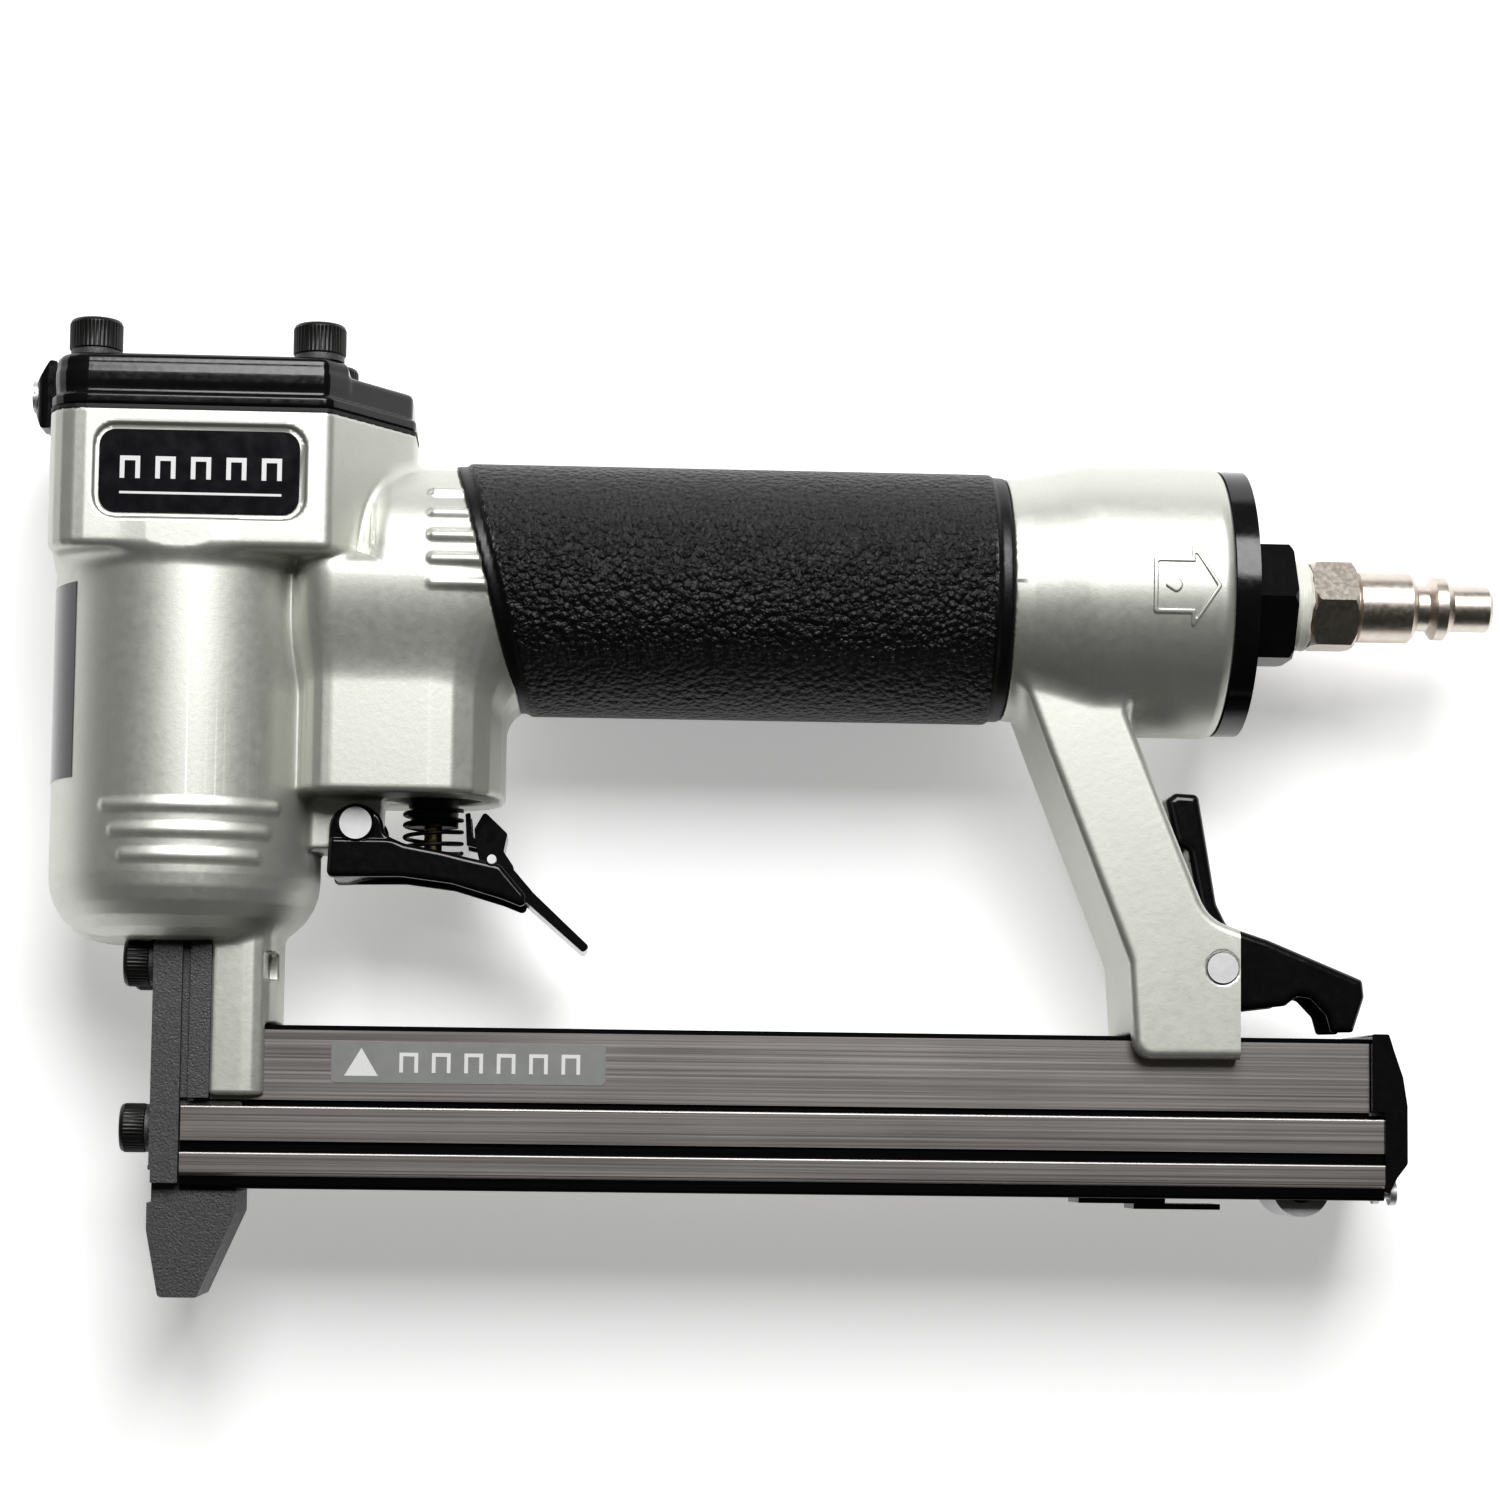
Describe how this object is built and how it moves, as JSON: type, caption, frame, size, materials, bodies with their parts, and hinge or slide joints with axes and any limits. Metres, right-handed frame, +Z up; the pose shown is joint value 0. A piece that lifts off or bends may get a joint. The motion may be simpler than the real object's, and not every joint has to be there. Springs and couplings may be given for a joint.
{
  "type": "pneumatic stapler",
  "caption": "Air-powered fine-wire stapler with a rubber grip, bottom-loading magazine, hinged trigger with safety lever, magazine latch and quick air plug, lying on its side.",
  "frame": {"origin": "centre of the bounding box on the resting plane, the tool lying on its side", "axes": "+X along the handle towards the air plug, +Y from the nose towards the head cap, +Z up, across the tool"},
  "size_m": [0.2421, 0.1562, 0.0453],
  "materials": {
    "silver_paint": "satin, fine metallic",
    "grip_rubber": "pebbled, matt",
    "label_black": "gloss",
    "black_enamel": "gloss",
    "black_oxide": "satin, grainy",
    "gunmetal": "brushed lengthwise",
    "bright_steel": "satin",
    "nickel": "turned, bright",
    "brass": "turned",
    "soft_rubber": "smooth",
    "machined_aluminium": "turned",
    "tape_white": "matt, wrapped",
    "sleeve_plastic": "satin",
    "label_grey": "printed film"
  },
  "bodies": {
    "body": {"housing": "silver_paint", "grip": "grip_rubber", "nameplate": "label_black", "side_label": "label_black", "cap": "black_enamel", "cap_gasket": "soft_rubber", "cap_bolts": "black_oxide", "cap_washers": "black_oxide", "exhaust_deflector": "black_enamel", "deflector_screw": "bright_steel", "head_valve_spring": "bright_steel", "cylinder_liner": "machined_aluminium", "bumper": "soft_rubber", "valve_sleeve": "sleeve_plastic", "valve_spring": "bright_steel", "trigger_pin": "bright_steel", "end_cap": "black_enamel", "end_cap_oring": "soft_rubber", "filter_screen": "bright_steel", "air_plug": "nickel", "thread_tape": "tape_white", "nose_plate": "black_oxide", "driver_guide": "black_oxide", "nose_block": "black_oxide", "nose_bolts": "black_oxide", "nose_washers": "black_oxide", "nose_dowels": "bright_steel", "mag_rail": "gunmetal", "mag_label": "label_grey", "latch_pin": "bright_steel", "latch_spring": "bright_steel"},
    "head_valve": {"head_valve": "machined_aluminium", "head_valve_oring": "soft_rubber"},
    "piston": {"piston": "machined_aluminium", "piston_oring": "soft_rubber", "driver_blade": "bright_steel"},
    "trigger": {"trigger": "black_enamel", "safety_pin": "bright_steel"},
    "safety_lever": {"safety_lever": "black_enamel"},
    "valve_stem": {"valve_stem": "brass", "valve_oring": "soft_rubber"},
    "magazine": {"mag_slide": "gunmetal", "staple_rail": "bright_steel", "mag_end_cap": "black_enamel", "end_cap_screws": "bright_steel", "guide_rod": "bright_steel", "slide_stop": "black_enamel", "stop_roller": "bright_steel", "pusher_spring": "bright_steel"},
    "pusher": {"pusher": "bright_steel"},
    "latch": {"latch": "black_enamel"}
  },
  "joints": [
    {"name": "trigger_pull", "type": "hinge", "parent": "body", "child": "trigger", "pos_m": [-0.0669, -0.0018, 0.0225], "axis": [0, 0, 1], "range_deg": [0, 8], "stiffness_Nm_per_rad": 0.3, "springref_deg": -20.05, "deforming": ["valve_spring"]},
    {"name": "safety_squeeze", "type": "hinge", "parent": "trigger", "child": "safety_lever", "pos_m": [-0.0449, -0.0073, 0.0225], "axis": [0, 0, 1], "range_deg": [0, 17.6]},
    {"name": "valve_lift", "type": "slide", "parent": "body", "child": "valve_stem", "axis": [0, 1, 0], "range_m": [0, 0.0017]},
    {"name": "drive_stroke", "type": "slide", "parent": "body", "child": "piston", "axis": [0, -1, 0], "range_m": [0, 0.042]},
    {"name": "head_valve_lift", "type": "slide", "parent": "body", "child": "head_valve", "axis": [0, 1, 0], "range_m": [0, 0.003], "stiffness_N_per_m": 300, "springref_m": -0.01, "deforming": ["head_valve_spring"]},
    {"name": "magazine_slide", "type": "slide", "parent": "body", "child": "magazine", "axis": [1, 0, 0], "range_m": [0, 0.115]},
    {"name": "pusher_travel", "type": "slide", "parent": "magazine", "child": "pusher", "axis": [1, 0, 0], "range_m": [0, 0.11], "stiffness_N_per_m": 30, "springref_m": -0.1, "deforming": ["pusher_spring"]},
    {"name": "latch_press", "type": "hinge", "parent": "body", "child": "latch", "pos_m": [0.0735, -0.0234, 0.0225], "axis": [0, 0, 1], "range_deg": [0, 10], "stiffness_Nm_per_rad": 0.3, "springref_deg": -17.19, "deforming": ["latch_spring"]}
  ],
  "couplings": [
    {"joint": "safety_squeeze", "follows": "trigger_pull", "ratio": 2.2},
    {"joint": "valve_lift", "follows": "trigger_pull", "m_per_rad": 0.0121}
  ]
}
